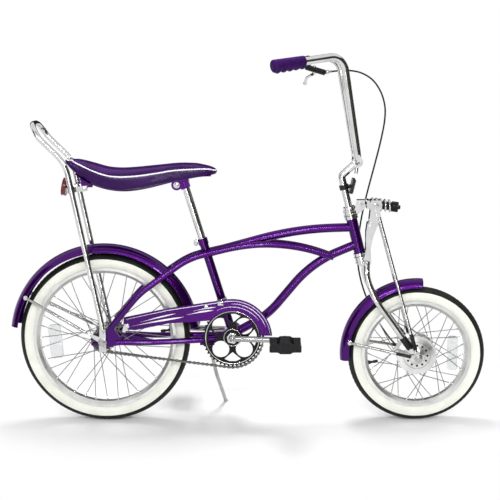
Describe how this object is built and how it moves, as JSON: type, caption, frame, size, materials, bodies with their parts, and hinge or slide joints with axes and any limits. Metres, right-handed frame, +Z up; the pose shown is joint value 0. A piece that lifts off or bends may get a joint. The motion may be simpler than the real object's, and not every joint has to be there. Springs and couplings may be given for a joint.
{
  "type": "chopper bicycle",
  "caption": "Chopper bicycle with a small front wheel, springer fork, tall handlebar, banana saddle, sissy bar, chain guard and side stand, parked on its stand.",
  "frame": {"origin": "below the middle of the parked bicycle, on the floor", "axes": "+X forward, +Y to the rider's left, +Z up; the bicycle leans 8 degrees to its left"},
  "size_m": [1.3852, 0.5214, 1.0728],
  "materials": {
    "violet_paint": "gloss",
    "chrome": "polished",
    "black_metal": "gloss",
    "steel": "satin",
    "tyre_rubber": "matte",
    "rubber": "matte",
    "saddle_vinyl": "gloss",
    "black_plastic": "matte",
    "red_lens": "gloss",
    "clear_lens": "gloss",
    "white_trim": "gloss"
  },
  "bodies": {
    "frame": {"head_tube": "violet_paint", "bottom_bracket_shell": "violet_paint", "bottom_bracket_cups": "chrome", "seat_tube": "violet_paint", "top_tube": "violet_paint", "down_tube": "violet_paint", "twin_tube_left": "violet_paint", "twin_tube_right": "violet_paint", "chain_stay_left": "violet_paint", "chain_stay_right": "violet_paint", "headset_cups": "chrome", "seat_post": "chrome", "seat_collar": "violet_paint", "saddle": "saddle_vinyl", "saddle_pan": "violet_paint", "sissy_bar": "chrome", "sissy_clamps": "chrome", "rear_reflector": "red_lens", "rear_fender": "violet_paint", "rear_fender_stay_left": "chrome", "rear_fender_stay_right": "chrome", "rear_axle": "steel", "chain": "steel", "rear_sprocket": "steel", "coaster_brake_arm": "violet_paint", "chain_guard": "violet_paint", "stand_bracket": "violet_paint"},
    "rear_wheel": {"rear_tyre": "tyre_rubber", "rear_rim": "chrome", "rear_spokes": "chrome", "rear_hub": "chrome", "rear_spoke_reflector": "clear_lens"},
    "steering": {"steerer": "chrome", "springer_fork": "chrome", "truss_rods": "chrome", "spring_bracket": "chrome", "spring_damper": "black_metal", "coil_spring": "chrome", "stem": "chrome", "handlebar": "chrome", "grip_left": "rubber", "grip_right": "rubber", "brake_lever": "black_metal", "brake_cable": "black_plastic", "front_axle": "steel", "front_fender": "violet_paint", "front_fender_stays": "chrome", "front_brake_plate": "steel", "front_reflector": "black_plastic"},
    "front_wheel": {"front_tyre": "tyre_rubber", "front_rim": "chrome", "front_spokes": "chrome", "front_hub": "chrome", "front_spoke_reflector": "clear_lens"},
    "crankset": {"crank_arms": "chrome", "chainring": "black_metal"},
    "pedal_right": {"pedal_right": "rubber"},
    "pedal_left": {"pedal_left": "rubber"},
    "kickstand": {"kickstand": "chrome"}
  },
  "joints": [
    {"name": "rear_wheel_spin", "type": "hinge", "parent": "frame", "child": "rear_wheel", "pos_m": [-0.41685, -0.07855, 0.2468], "axis": [0, 0.9903, -0.1392], "continuous": true},
    {"name": "steering", "type": "hinge", "parent": "frame", "child": "steering", "pos_m": [0.30314, -0.03012, 0.59141], "axis": [-0.2356, 0.1353, 0.9624], "range_deg": [-60, 60]},
    {"name": "front_wheel_spin", "type": "hinge", "parent": "steering", "child": "front_wheel", "pos_m": [0.49415, -0.08558, 0.19679], "axis": [0, 0.9903, -0.1392], "continuous": true},
    {"name": "crank_spin", "type": "hinge", "parent": "frame", "child": "crankset", "pos_m": [-0.04186, -0.07744, 0.25472], "axis": [0, 0.9903, -0.1392], "continuous": true},
    {"name": "pedal_right_spin", "type": "hinge", "parent": "crankset", "child": "pedal_right", "pos_m": [0.11015, -0.20617, 0.27281], "axis": [0, 0.9903, -0.1392], "continuous": true},
    {"name": "pedal_left_spin", "type": "hinge", "parent": "crankset", "child": "pedal_left", "pos_m": [-0.19385, 0.0513, 0.23663], "axis": [0, 0.9903, -0.1392], "continuous": true},
    {"name": "kickstand_fold", "type": "hinge", "parent": "frame", "child": "kickstand", "pos_m": [-0.11686, -0.03719, 0.21776], "axis": [0, 0.9966, 0.0819], "range_deg": [0, 90]}
  ]
}
